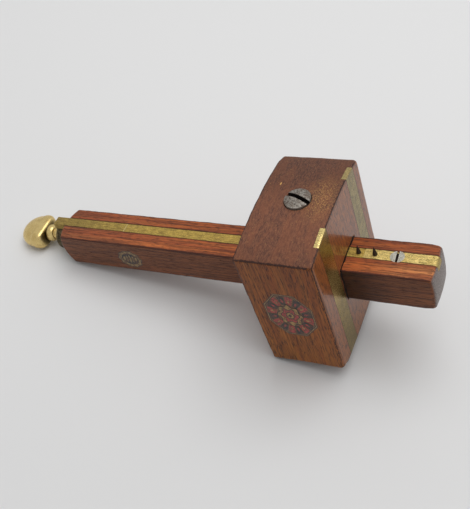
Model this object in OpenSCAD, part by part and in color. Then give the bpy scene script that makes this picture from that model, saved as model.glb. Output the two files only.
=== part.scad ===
// Mortise gauge with a thumbscrew-driven pin slide.
// X runs along the stem from the thumbscrew to the pins, and Z points up
// through the pins and the clamp screw. The origin is on the stem's axis,
// in the plane of the head's working face.

/* [Stem] */
// Width of the stem, along Y
stem_w = 19; // [17:0.5:24]
// Height of the stem, along Z
stem_h = 18.3; // [16:0.1:22]
// Length of stem behind the working face
stem_back = 147.6; // [140:0.1:170]
// Length of stem in front of the working face
stem_front = 37.8; // [32:0.1:45]
// Radius of the dome on the thumbscrew end
back_dome_r = 22; // [18:1:60]
// Radius of the dome on the pin end
front_dome_r = 80; // [40:1:120]

/* [Head] */
// Width of the head, along Y
head_w = 60; // [52:1:70]
// Height of the head at its sides, along Z
head_h = 66.6; // [60:0.1:76]
// Thickness of the head, along the stem
head_d = 33.4; // [28:0.1:40]
// Rise of the arched top and bottom over the sides
camber = 3; // [1:0.1:5]
// How far the head's middle is above the stem's axis
head_rise = 0.8; // [-1:0.1:2]

/* [Wear strips] */
// Width of each brass wear strip
wear_w = 8.6; // [5:0.1:10]
// Thickness of each wear strip
wear_t = 2.2; // [1.5:0.1:3]
// Distance between the middles of the two wear strips, over the head's width
wear_share = 0.59; // [0.56:0.001:0.7]
// Sideways offset of the pair of wear strips
wear_shift = 1.6; // [-1:0.1:1.8]

/* [Slide] */
// Width of the brass slide at the stem's top face
slide_w = 4.9; // [4:0.1:6]
// Thickness of the slide
slide_t = 3; // [2.5:0.1:4]
// Sideways offset of the slide from the stem's middle
slide_y = 0.95; // [0:0.05:1.5]
// Joint between the slide and the fixed plate, from the working face
seam_x = 7; // [6.4:0.1:9]
// How far the slide stands out past the stem's end
slide_out = 4.8; // [4:0.1:8]
// Diameter of the round boss under the slide's end
boss_d = 14; // [12:0.5:15]
// Depth of the thumbscrew's axis below the stem's axis
screw_drop = 1; // [0:0.1:2]

/* [Pins] */
// Diameter of a marking pin at its foot
pin_d = 2.1; // [1.6:0.1:2.6]
// Height of a marking pin over the stem
pin_h = 4.2; // [3:0.1:6]
// Place of the moving pin, from the working face
pin_x = 4.6; // [4:0.1:5]
// Distance between the pins with the slide home
pin_gap = 6.9; // [5:0.1:9]

/* [Thumbscrew] */
// Width of the thumb piece
thumb_w = 18.6; // [16:0.1:22]
// Thickness of the thumb piece
thumb_t = 10; // [6:0.1:12]
// Length of the thumb piece along the stem
thumb_l = 13.7; // [12:0.1:16]
// Diameter of the bead on the neck
bead_d = 8.6; // [7:0.1:10]
// Length of the bead
bead_l = 5.6; // [4:0.1:6]
// Diameter of the threaded rod
rod_d = 4; // [3.5:0.1:5]
// Travel of the slide away from the fixed plate
slide_travel = 25; // [15:1:30]

/* [Clamp screw] */
// Diameter of the clamp screw's head
clamp_head_d = 11.3; // [9:0.1:13]
// Diameter of the clamp screw's shank
clamp_shank_d = 6; // [5:0.1:7]
// Place of the clamp screw behind the working face
clamp_x = 15.9; // [14:0.1:20]
// Sideways place of the clamp screw
clamp_y = 1.6; // [0:0.1:2]
// Turn of the slot from the stem's direction, in degrees
slot_turn = -19.6; // [-90:0.1:90]

/* [Hidden] */
$fn = 96;

rosewood = "#7a3b24";
head_wood = "#6b4030";
brass = "#b5a14e";
bright_brass = "#c9ab58";
steel = "#8c8a86";
dark_steel = "#3a3634";

// Clearances between pieces that move on each other
run_gap = 0.03;
slide_gap = 0.05;
mortise_gap = 0.12;
pad_gap = 0.08;
pad_side_gap = 0.15;
end_gap = 0.35;
collar_gap = 0.05;
shoulder_gap = 0.1;

// Clearance of a drilled hole round what passes through it
hole_gap = 0.6;
// How far a cut runs past the surface it opens
over = 1;
// Facets of a shallow dome
dome_fn = 128;

// Stem
top_z = stem_h / 2;
plate_end = stem_front + over;
dovetail_lean = 0.1;
screw_z = -screw_drop;

// Head
head_side_z = head_h / 2;
camber_r = (pow(head_w / 2, 2) + pow(camber, 2)) / (2 * camber);
head_top_z = head_rise + head_side_z + camber;

// Thread nut, rod and collar
nut_d = 9;
nut_l = 9;
nut_inset = 3.7;
nut_x = -stem_back + nut_inset;
nut_pin_d = 1.8;
nut_pin_in = 1.2;
rod_socket = 6;
rod_spare = 10;
rod_past_nut = slide_travel + rod_spare;
rod_bore_past = 4;
collar_d = 7.6;
collar_l = 2.4;
collar_pin_d = 1.2;
boss_x = -stem_back - slide_out;
boss_l = slide_out - end_gap;
rod_end_x = nut_x + nut_l + rod_past_nut;
collar_x = boss_x + boss_l + collar_gap;

// Thumb piece, bead and neck
neck_d = 6;
neck_l = 4.9;
bead_groove = 0.6;
bead_step = 15;
shoulder_x = boss_x - shoulder_gap;
bead_x = shoulder_x - neck_l - bead_l;
thumb_x = bead_x - bead_groove;
thumb_r = thumb_w / 2;
oval_power = 2.3;
oval_steps = 10;

// Marking pins and the fixed plate's screw
pin_step = 0.3;
pin_tail_d = pin_d - pin_step;
pin_tip_d = 0.4;
plate_screw_x = 20.7;
plate_screw_d = 6;
plate_screw_neck = 2.6;
plate_screw_sink = 1.6;
plate_screw_l = 13;
plate_slot = [0.8, 0.7];

// Clamp screw, bush and pad
pad = [12, 12, 3];
pad_travel = 2.6;
pad_z = top_z + pad_gap;
pocket_top = pad_z + pad[2] + pad_travel + shoulder_gap;
bush_web = 3.4;
bush_z = pocket_top + bush_web;
bush_l = 10;
clamp_hole_d = clamp_head_d + 2 * end_gap;
clamp_proud = 0.8;
clamp_rim_z = head_top_z + clamp_proud;
clamp_head_l = 4.2;
clamp_dome = 1.3;
clamp_dome_r = (pow(clamp_head_d / 2, 2) + pow(clamp_dome, 2)) / (2 * clamp_dome);
clamp_slot = [1.8, 1.5];

// Pins that hold the wear strips
wear_pin_d = 1.6;
wear_pin_l = 9;
wear_pin_z = 24;

// Middles of the two wear strips, from the near one to the far one
wear_y = [wear_shift - wear_share * head_w / 2, wear_shift + wear_share * head_w / 2];

// A cylinder that lies along X from x0, on the axis through y and z
module rod_x(x0, length, d, y = slide_y, z = screw_z) {
    translate([x0, y, z]) rotate([0, 90, 0]) cylinder(h = length, d = d);
}

// Cuts the far side of a dome off a bar: side is 1 for the +X end
module dome_trim(apex_x, dome_r, side) {
    centre_x = apex_x - side * dome_r;
    difference() {
        translate([centre_x + (side > 0 ? 0 : -dome_r - 2 * over), -stem_w, -stem_h])
            cube([dome_r + 2 * over, 2 * stem_w, 2 * stem_h]);
        translate([centre_x, 0, 0]) sphere(r = dome_r, $fn = dome_fn);
    }
}

// The slide's dovetail from x0 to x1, grown by gap and carried up by lift
module dovetail_bar(x0, x1, gap = 0, lift = 0) {
    depth = slide_t + gap;
    high = slide_w / 2 + gap - dovetail_lean * lift;
    low = slide_w / 2 + gap + dovetail_lean * depth;
    translate([x0, slide_y, top_z]) rotate([90, 0, 90]) linear_extrude(x1 - x0)
        polygon([[-high, lift], [high, lift], [low, -depth], [-low, -depth]]);
}

module stem_blank() {
    difference() {
        translate([-stem_back - over, -stem_w / 2, -stem_h / 2])
            cube([stem_back + stem_front + 2 * over, stem_w, stem_h]);
        dome_trim(-stem_back, back_dome_r, -1);
        dome_trim(stem_front, front_dome_r, 1);
    }
}

module plate_screw_shape() {
    translate([plate_screw_x, slide_y, top_z - plate_screw_l])
        cylinder(h = plate_screw_l, d = plate_screw_neck);
    translate([plate_screw_x, slide_y, top_z - plate_screw_sink])
        cylinder(h = plate_screw_sink, d1 = plate_screw_neck, d2 = plate_screw_d);
}

module stem() {
    color(rosewood) difference() {
        stem_blank();
        dovetail_bar(-stem_back - over, seam_x, slide_gap, over);
        dovetail_bar(seam_x, plate_end, 0, over);
        rod_x(-stem_back - over, nut_inset + nut_l + over, nut_d);
        rod_x(nut_x, rod_end_x - nut_x + rod_bore_past, rod_d + hole_gap);
        plate_screw_shape();
        nut_pin_shape();
    }
}

module pin_plate() {
    color(brass) difference() {
        intersection() {
            dovetail_bar(seam_x, plate_end);
            stem_blank();
        }
        plate_screw_shape();
        pin_hole(pin_x + pin_gap);
    }
}

module plate_screw() {
    color(steel) difference() {
        plate_screw_shape();
        translate([plate_screw_x - plate_slot[0] / 2, slide_y - plate_screw_d, top_z - plate_slot[1]])
            cube([plate_slot[0], 2 * plate_screw_d, 2 * plate_slot[1]]);
    }
}

module pin_hole(x) {
    translate([x, slide_y, top_z - slide_t - over])
        cylinder(h = slide_t + 2 * over, d = pin_tail_d);
}

module marking_pin(x) {
    color(dark_steel) translate([x, slide_y, 0]) {
        translate([0, 0, top_z - slide_t]) cylinder(h = slide_t, d = pin_tail_d);
        translate([0, 0, top_z]) cylinder(h = pin_h, d1 = pin_d, d2 = pin_tip_d);
    }
}

module fixed_pin() {
    marking_pin(pin_x + pin_gap);
}

module moving_pin() {
    marking_pin(pin_x);
}

module thread_nut() {
    color(brass) difference() {
        rod_x(nut_x, nut_l, nut_d);
        rod_x(nut_x - over, nut_l + 2 * over, rod_d + 2 * run_gap);
        nut_pin_shape();
    }
}

// A short pin from the stem's underside into the nut's wall
module nut_pin_shape() {
    top = screw_z - nut_d / 2 + nut_pin_in;
    translate([nut_x + nut_l / 2, slide_y, -stem_h / 2])
        cylinder(h = top + stem_h / 2, d = nut_pin_d);
}

module nut_pin() {
    color(brass) nut_pin_shape();
}

// The head's block: a rectangle whose top and bottom are arched
module head_blank() {
    translate([-head_d, 0, head_rise]) rotate([90, 0, 90]) linear_extrude(head_d)
        intersection() {
            square([head_w, 2 * (head_side_z + camber)], center = true);
            for (side = [-1, 1])
                intersection() {
                    translate([0, side * (camber_r - head_side_z - camber)])
                        circle(r = camber_r, $fn = 360);
                    translate([0, -side * (camber_r - head_side_z - camber)])
                        circle(r = camber_r, $fn = 360);
                }
        }
}

module wear_box(side) {
    translate([-wear_t, wear_y[side] - wear_w / 2, -head_h]) cube([wear_t, wear_w, 2 * head_h]);
}

module wear_pin_shapes() {
    for (y = wear_y, up = [-1, 1])
        translate([-wear_pin_l, y, head_rise + up * wear_pin_z])
            rotate([0, 90, 0]) cylinder(h = wear_pin_l, d = wear_pin_d);
}

module clamp_hole() {
    translate([-clamp_x, clamp_y, bush_z]) cylinder(h = head_h, d = clamp_hole_d);
    translate([-clamp_x, clamp_y, 0]) cylinder(h = head_h, d = clamp_shank_d + hole_gap);
}

module head() {
    pocket = [pad[0] + 2 * pad_side_gap, pad[1] + 2 * pad_side_gap];
    color(head_wood) difference() {
        head_blank();
        translate([-head_d - over, -stem_w / 2 - mortise_gap, -stem_h / 2 - mortise_gap])
            cube([head_d + 2 * over, stem_w + 2 * mortise_gap, stem_h + 2 * mortise_gap]);
        translate([-clamp_x - pocket[0] / 2, clamp_y - pocket[1] / 2, 0])
            cube([pocket[0], pocket[1], pocket_top]);
        clamp_hole();
        wear_box(0);
        wear_box(1);
        wear_pin_shapes();
    }
}

module wear_strip(side) {
    color(brass) difference() {
        intersection() {
            head_blank();
            wear_box(side);
        }
        wear_pin_shapes();
    }
}

module wear_strip_front() {
    wear_strip(0);
}

module wear_strip_back() {
    wear_strip(1);
}

module wear_strip_pins() {
    color(bright_brass) wear_pin_shapes();
}

module clamp_bush() {
    color(brass) translate([-clamp_x, clamp_y, bush_z]) difference() {
        cylinder(h = bush_l, d = clamp_hole_d);
        translate([0, 0, -over])
            cylinder(h = bush_l + 2 * over, d = clamp_shank_d + 2 * run_gap);
    }
}

module pressure_pad() {
    color(brass) translate([-clamp_x - pad[0] / 2, clamp_y - pad[1] / 2, pad_z]) cube(pad);
}

module clamp_screw() {
    shank_z = pad_z + pad[2] + run_gap;
    color(steel) translate([-clamp_x, clamp_y, 0]) difference() {
        union() {
            translate([0, 0, shank_z])
                cylinder(h = clamp_rim_z - clamp_slot[1] - shank_z, d = clamp_shank_d);
            intersection() {
                translate([0, 0, clamp_rim_z + clamp_dome - clamp_dome_r])
                    sphere(r = clamp_dome_r, $fn = dome_fn);
                translate([0, 0, clamp_rim_z - clamp_head_l])
                    cylinder(h = clamp_head_l + clamp_dome, d = clamp_head_d);
            }
        }
        rotate([0, 0, slot_turn])
            translate([-clamp_head_d, -clamp_slot[0] / 2, clamp_rim_z - clamp_slot[1]])
                cube([2 * clamp_head_d, clamp_slot[0], clamp_slot[1] + 2 * clamp_dome]);
    }
}

module pin_slide() {
    color(brass) difference() {
        dovetail_bar(boss_x, seam_x - slide_gap);
        pin_hole(pin_x);
    }
}

module slide_boss() {
    color(bright_brass) difference() {
        union() {
            rod_x(boss_x, boss_l, boss_d);
            translate([boss_x, slide_y - slide_w / 2, screw_z])
                cube([boss_l, slide_w, top_z - slide_t - screw_z]);
        }
        rod_x(boss_x - over, boss_l + 2 * over, rod_d + 2 * run_gap);
    }
}

// Half of the thumb piece's oval section, from its axis outwards
function oval_point(t) = [thumb_r * pow(sin(t), 2 / oval_power),
    thumb_t / 2 * pow(abs(cos(t)), 2 / oval_power) * (t > 90 ? -1 : 1)];

module half_oval() {
    polygon([for (i = [0:2 * oval_steps]) oval_point(90 * i / oval_steps)]);
}

// The bead's barrel section, turned about the screw's axis
module bead() {
    arch = (bead_d - neck_d) / 2 + bead_groove;
    rotate([0, 90, 0]) rotate_extrude()
        polygon(concat([[0, 0]],
            [for (t = [0:bead_step:180])
                [bead_d / 2 - arch + arch * sin(t), bead_l / 2 * (1 - cos(t))]],
            [[0, bead_l]]));
}

module thumb_knob() {
    color(bright_brass) difference() {
        union() {
            translate([thumb_x - thumb_l + thumb_r, slide_y, screw_z]) {
                rotate([0, 0, 90]) rotate_extrude(angle = 180) half_oval();
                scale([(thumb_l - thumb_r + bead_groove) / thumb_r, 1, 1])
                    rotate([0, 0, -90]) rotate_extrude(angle = 180) half_oval();
            }
            rod_x(thumb_x - over, shoulder_x - thumb_x + over, neck_d);
            translate([bead_x, slide_y, screw_z]) bead();
        }
        rod_x(shoulder_x - rod_socket, rod_socket + over, rod_d);
    }
}

module collar_pin_shape() {
    translate([collar_x + collar_l / 2, slide_y, screw_z - collar_d / 2])
        cylinder(h = collar_d, d = collar_pin_d);
}

module screw_rod() {
    color(steel) difference() {
        rod_x(shoulder_x - rod_socket, rod_end_x - shoulder_x + rod_socket, rod_d);
        collar_pin_shape();
    }
}

module rod_collar() {
    color(brass) difference() {
        rod_x(collar_x, collar_l, collar_d);
        rod_x(collar_x - over, collar_l + 2 * over, rod_d);
        collar_pin_shape();
    }
}

module collar_pin() {
    color(steel) intersection() {
        collar_pin_shape();
        rod_x(collar_x, collar_l, collar_d);
    }
}

stem();
pin_plate();
plate_screw();
fixed_pin();
thread_nut();
nut_pin();
head();
wear_strip_front();
wear_strip_back();
wear_strip_pins();
clamp_bush();
pressure_pad();
clamp_screw();
pin_slide();
slide_boss();
moving_pin();
thumb_knob();
screw_rod();
rod_collar();
collar_pin();
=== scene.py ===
import bpy, bmesh, math
from mathutils import Matrix, Vector, noise


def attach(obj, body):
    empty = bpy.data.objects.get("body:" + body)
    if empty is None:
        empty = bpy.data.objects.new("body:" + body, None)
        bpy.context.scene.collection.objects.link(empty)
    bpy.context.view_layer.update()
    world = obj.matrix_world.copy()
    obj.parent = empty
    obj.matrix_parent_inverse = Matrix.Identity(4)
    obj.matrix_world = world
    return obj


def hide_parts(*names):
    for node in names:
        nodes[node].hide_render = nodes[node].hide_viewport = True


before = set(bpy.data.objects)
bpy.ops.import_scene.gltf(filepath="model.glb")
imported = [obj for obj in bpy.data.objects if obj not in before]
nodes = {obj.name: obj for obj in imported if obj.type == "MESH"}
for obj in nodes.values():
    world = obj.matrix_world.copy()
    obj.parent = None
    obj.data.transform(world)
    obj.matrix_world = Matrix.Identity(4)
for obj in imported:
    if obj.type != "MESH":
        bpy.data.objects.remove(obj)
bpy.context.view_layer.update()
mm = 0.001

view = {
    "eye": (105.4, -197.7, 252.5),
    "right": (0.8886, 0.3643, -0.2786),
    "down": (0.1033, -0.7508, -0.6524),
    "forward": (-0.4468, 0.5509, -0.7048),
    "lens": 56.4,
}

cameraData = bpy.data.cameras.new("camera")
cameraData.sensor_width = 36
cameraData.lens = view["lens"]
cameraData.clip_start = 0.01
camera = bpy.data.objects.new("camera", cameraData)
bpy.context.scene.collection.objects.link(camera)
right, down, forward = (Vector(view[k]).normalized() for k in ("right", "down", "forward"))
turn = Matrix((right, -down, -forward)).transposed()
camera.matrix_world = Matrix.Translation(Vector(view["eye"]) * mm) @ turn.to_4x4()
bpy.context.scene.camera = camera
print("camera placed")


# Shader helpers

def addNode(tree, kind, **settings):
    made = tree.nodes.new("ShaderNode" + kind)
    for name, value in settings.items():
        setattr(made, name, value)
    return made


def join(tree, *pairs):
    for source, target in pairs:
        if hasattr(source, "outputs"):
            source = source.outputs[0]
        tree.links.new(source, target)


def maths(tree, operation, a, b=None):
    made = addNode(tree, "Math", operation=operation)
    for socket, value in zip(made.inputs, (a, b)):
        if value is None:
            continue
        if isinstance(value, (int, float)):
            socket.default_value = value
        else:
            tree.links.new(value, socket)
    return made.outputs[0]


def ramp(tree, source, stops, smooth=False):
    made = addNode(tree, "ValToRGB")
    elements = made.color_ramp.elements
    while len(elements) < len(stops):
        elements.new(0.5)
    for element, (place, colour) in zip(elements, stops):
        element.position = place
        if isinstance(colour, (int, float)):
            colour = (colour, colour, colour)
        element.color = (*colour, 1)
    if smooth:
        made.color_ramp.interpolation = "EASE"
    tree.links.new(source, made.inputs[0])
    return made.outputs[0]


def blendColour(tree, amount, first, second):
    made = addNode(tree, "Mix", data_type="RGBA")
    for socket, value in ((made.inputs[0], amount), (made.inputs[6], first), (made.inputs[7], second)):
        if isinstance(value, (int, float)):
            socket.default_value = value
        elif isinstance(value, tuple):
            socket.default_value = (*value, 1)
        else:
            tree.links.new(value, socket)
    return made.outputs[2]


def stretched(tree, scale, shift=(0, 0, 0), turn=(0, 0, 0)):
    # Object coordinates in millimetres, scaled per axis
    place = addNode(tree, "TexCoord")
    made = addNode(tree, "Mapping")
    made.inputs["Location"].default_value = shift
    made.inputs["Rotation"].default_value = [math.radians(a) for a in turn]
    made.inputs["Scale"].default_value = [s * 1000 for s in scale]
    tree.links.new(place.outputs["Object"], made.inputs[0])
    return made.outputs[0]


def cloud(tree, vector, scale, detail=4, roughness=0.6, distortion=0.0):
    made = addNode(tree, "TexNoise")
    made.inputs["Scale"].default_value = scale
    made.inputs["Detail"].default_value = detail
    made.inputs["Roughness"].default_value = roughness
    made.inputs["Distortion"].default_value = distortion
    tree.links.new(vector, made.inputs["Vector"])
    return made.outputs[0]


def newGroup(name, inputs, outputs):
    tree = bpy.data.node_groups.new(name, "ShaderNodeTree")
    for label, kind, value in inputs:
        socket = tree.interface.new_socket(label, in_out="INPUT", socket_type=kind)
        if value is not None:
            socket.default_value = value
    for label in outputs:
        tree.interface.new_socket(label, in_out="OUTPUT", socket_type="NodeSocketFloat")
    return tree, tree.nodes.new("NodeGroupInput"), tree.nodes.new("NodeGroupOutput")


def useGroup(tree, group, vector, **values):
    made = tree.nodes.new("ShaderNodeGroup")
    made.node_tree = group
    tree.links.new(vector, made.inputs["Vector"])
    for name, value in values.items():
        made.inputs[name].default_value = value
    return made.outputs


def scaled(tree, colour, factor):
    made = addNode(tree, "VectorMath", operation="SCALE")
    join(tree, (colour, made.inputs[0]), (factor, made.inputs["Scale"]))
    return made.outputs[0]


def newMaterial(name):
    material = bpy.data.materials.new(name)
    material.use_nodes = True
    tree = material.node_tree
    return material, tree, tree.nodes["Principled BSDF"]


def bumpFrom(tree, height, strength, distance):
    made = addNode(tree, "Bump")
    made.inputs["Strength"].default_value = strength
    made.inputs["Distance"].default_value = distance
    tree.links.new(height, made.inputs["Height"])
    return made.outputs[0]


# Shared effects

def makeGrainGroup():
    # Long streaks and short pores; the vector's X runs along the grain
    tree, given, out = newGroup("grain", [("Vector", "NodeSocketVector", None)],
                                ["Streak", "Figure", "Pore"])
    vector = given.outputs["Vector"]

    def drawnOut(x, y, z):
        made = addNode(tree, "Mapping")
        made.inputs["Scale"].default_value = (x, y, z)
        tree.links.new(vector, made.inputs[0])
        return made.outputs[0]

    fine = cloud(tree, drawnOut(0.030, 1.1, 1.1), 1.25, 6, 0.68, 0.25)
    wide = cloud(tree, drawnOut(0.016, 0.40, 0.40), 1.0, 3, 0.5, 0.6)
    pores = cloud(tree, drawnOut(0.20, 2.2, 2.2), 1.3, 3, 0.55)
    join(tree, (ramp(tree, fine, [(0.43, 0), (0.60, 1)]), out.inputs["Streak"]),
         (ramp(tree, wide, [(0.38, 0), (0.64, 1)], True), out.inputs["Figure"]),
         (ramp(tree, pores, [(0.54, 0), (0.61, 1)]), out.inputs["Pore"]))
    return tree


def makeTarnishGroup():
    # Specks, stains and rubbed scratches on old brass, in millimetres
    tree, given, out = newGroup("tarnish", [("Vector", "NodeSocketVector", None)],
                                ["Speck", "Stain", "Scratch", "Scuff"])
    vector = given.outputs["Vector"]
    waves = cloud(tree, vector, 0.55, 3, 0.55, 1.4)
    off = maths(tree, "ABSOLUTE", maths(tree, "SUBTRACT", waves, 0.5))
    specks = cloud(tree, vector, 2.3, 3, 0.65)
    stains = cloud(tree, vector, 0.35, 4, 0.6, 0.4)
    twist = addNode(tree, "Mapping")
    twist.inputs["Rotation"].default_value = (0.0, 0.35, 0.5)
    twist.inputs["Scale"].default_value = (0.35, 4.5, 4.5)
    tree.links.new(vector, twist.inputs[0])
    scratches = cloud(tree, twist.outputs[0], 1.0, 3, 0.6, 0.6)
    join(tree, (ramp(tree, specks, [(0.60, 0), (0.70, 1)]), out.inputs["Speck"]),
         (ramp(tree, stains, [(0.35, 0), (0.70, 1)], True), out.inputs["Stain"]),
         (ramp(tree, scratches, [(0.42, 0), (0.62, 1)]), out.inputs["Scratch"]),
         (ramp(tree, off, [(0.004, 1), (0.022, 0)]), out.inputs["Scuff"]))
    return tree


grainGroup = makeGrainGroup()
tarnishGroup = makeTarnishGroup()

stemWood = {
    # near and far hold painted light: the near side of the top lit, the far side shaded
    "near": (0.59, 0.165, 0.042),
    "pale": (0.80, 0.36, 0.13),
    "dull": (0.32, 0.105, 0.040),
    "far": (0.41, 0.108, 0.028),
    "red": (0.34, 0.078, 0.026),
    "dark": (0.055, 0.018, 0.012),
    "sideBrownAndShade": (0.245, 0.076, 0.024),
    "sideDarkAndShade": (0.030, 0.014, 0.010),
    "endGrey": (0.30, 0.25, 0.225),
    "roughness": 0.36,
    "coat": 0.03,
}


def facing(tree, axis):
    # How far the surface faces along one axis of the piece
    place = addNode(tree, "TexCoord")
    parts = addNode(tree, "SeparateXYZ")
    tree.links.new(place.outputs["Normal"], parts.inputs[0])
    return parts.outputs[axis]


def arris(tree, grain, low, high):
    # 1 along the eased corners, from the mesh's own mark, with a ragged edge
    made = addNode(tree, "Attribute", attribute_name="arris")
    ragged = cloud(tree, stretched(tree, grain), 1.1, 4, 0.7)
    total = maths(tree, "ADD", maths(tree, "MULTIPLY", made.outputs["Fac"], 0.7), ragged)
    return maths(tree, "MULTIPLY", ramp(tree, total, [(low, 0), (high, 1)]),
                 ramp(tree, made.outputs["Fac"], [(0.05, 0), (0.2, 1)]))


def along(tree, axis):
    # A coordinate of the piece in millimetres
    place = addNode(tree, "TexCoord")
    parts = addNode(tree, "SeparateXYZ")
    tree.links.new(place.outputs["Object"], parts.inputs[0])
    return maths(tree, "MULTIPLY", parts.outputs[axis], 1000)


def joint(tree, value, middle, half, reach):
    # 1 where a coordinate is within reach of either side of a fitted strip
    off = maths(tree, "SUBTRACT", maths(tree, "ABSOLUTE", maths(tree, "SUBTRACT", value, middle)), half)
    return ramp(tree, maths(tree, "DIVIDE", maths(tree, "ABSOLUTE", off), reach), [(0.35, 1), (1, 0)])


def makeStemWood():
    material, tree, shader = newMaterial("stemWood")
    grain = useGroup(tree, grainGroup, stretched(tree, (1, 1, 1)))
    # Painted light: lighter on the near side and darker on the far side of the top, and paler towards the pin
    # end on the near side
    across = maths(tree, "ADD", maths(tree, "MULTIPLY", along(tree, 1), 0.05), 0.5)
    colour = blendColour(tree, ramp(tree, across, [(0.1, 0), (0.8, 1)]), stemWood["near"], stemWood["far"])
    onward = maths(tree, "ADD", maths(tree, "MULTIPLY", along(tree, 0), 0.015), 0.4)
    pale = maths(tree, "MULTIPLY", ramp(tree, onward, [(0.5, 0), (0.9, 0.6)], True),
                 ramp(tree, across, [(0.1, 1), (0.6, 0)]))
    colour = blendColour(tree, pale, colour, stemWood["pale"])
    backward = maths(tree, "MULTIPLY", along(tree, 0), -0.006)
    colour = blendColour(tree, ramp(tree, backward, [(0.45, 0), (0.85, 0.7)], True), colour, stemWood["dull"])
    colour = blendColour(tree, maths(tree, "MULTIPLY", grain["Figure"], 0.8), colour, stemWood["red"])
    colour = blendColour(tree, maths(tree, "MULTIPLY", grain["Streak"], 0.68), colour, stemWood["dark"])
    colour = blendColour(tree, maths(tree, "MULTIPLY", grain["Pore"], 0.6), colour, (0.02, 0.009, 0.008))
    # The sides have darkened more than the top and are painted darker still for the shade they stand in; the
    # ends are end grain
    side = ramp(tree, facing(tree, 2), [(0.35, 1), (0.85, 0)])
    sideToneAndShade = blendColour(tree, maths(tree, "MULTIPLY", grain["Streak"], 0.75), stemWood["sideBrownAndShade"],
                           stemWood["sideDarkAndShade"])
    sideToneAndShade = blendColour(tree, maths(tree, "MULTIPLY", grain["Pore"], 0.6), sideToneAndShade, (0.016, 0.010, 0.009))
    colour = blendColour(tree, maths(tree, "MULTIPLY", side, 0.92), colour, sideToneAndShade)
    # Painted shade on the side around the head
    shadeNearHead = ramp(tree, maths(tree, "ABSOLUTE", maths(tree, "MULTIPLY", along(tree, 0), 0.04)),
                 [(0.2, 0.68), (1, 0)], True)
    colour = blendColour(tree, maths(tree, "MULTIPLY", side, shadeNearHead), colour, (0.022, 0.012, 0.009))
    ends = ramp(tree, maths(tree, "ABSOLUTE", facing(tree, 0)), [(0.55, 0), (0.85, 1)])
    rings = cloud(tree, stretched(tree, (0.2, 1.1, 1.6)), 1.2, 5, 0.7)
    endTone = blendColour(tree, ramp(tree, rings, [(0.35, 0), (0.7, 1)]), stemWood["endGrey"],
                          (0.045, 0.026, 0.024))
    colour = blendColour(tree, ends, colour, endTone)
    colour = blendColour(tree, maths(tree, "MULTIPLY", arris(tree, (0.25, 1, 1), 0.92, 1.15), 0.85), colour,
                         (0.060, 0.020, 0.014))
    up = ramp(tree, facing(tree, 2), [(0.8, 0), (0.9, 1)])
    crack = maths(tree, "MULTIPLY", joint(tree, along(tree, 1), 0.95, 2.5, 0.5), up)
    colour = blendColour(tree, maths(tree, "MULTIPLY", crack, 0.85), colour, (0.016, 0.009, 0.007))
    join(tree, (colour, shader.inputs["Base Color"]),
         (ramp(tree, grain["Pore"], [(0, stemWood["roughness"]), (1, 0.6)]), shader.inputs["Roughness"]),
         (bumpFrom(tree, maths(tree, "SUBTRACT", 1.0, grain["Pore"]), 0.45, 0.0001), shader.inputs["Normal"]))
    shader.inputs["Specular IOR Level"].default_value = 0.2
    shader.inputs["Coat Weight"].default_value = stemWood["coat"]
    shader.inputs["Coat Roughness"].default_value = 0.2
    return material


head = {
    "depth": 33.4, "width": 60.0, "side": 33.3, "camber": 3.0, "rise": 0.8, "ease": 3.0,
    "heel": 34.0, "heelCamber": 1.5,
    "strips": ((-16.1, 9.1), (19.3, 7.9)), "stripThick": 2.2, "pinsOut": 24, "frontInset": 0.06,
}

headWood = {
    "brown": (0.413, 0.134, 0.028),
    "red": (0.319, 0.089, 0.021),
    "golden": (0.41, 0.148, 0.024),
    "dark": (0.060, 0.024, 0.013),
    "top": (0.182, 0.072, 0.039),
    "topDark": (0.072, 0.029, 0.021),
    "topRed": (0.200, 0.070, 0.034),
    "gold": (0.60, 0.33, 0.10),
    "rubbed": (0.28, 0.092, 0.029),
    "faceRoughness": 0.3,
    "roughness": 0.46,
    "shine": 0.33,
}


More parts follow.
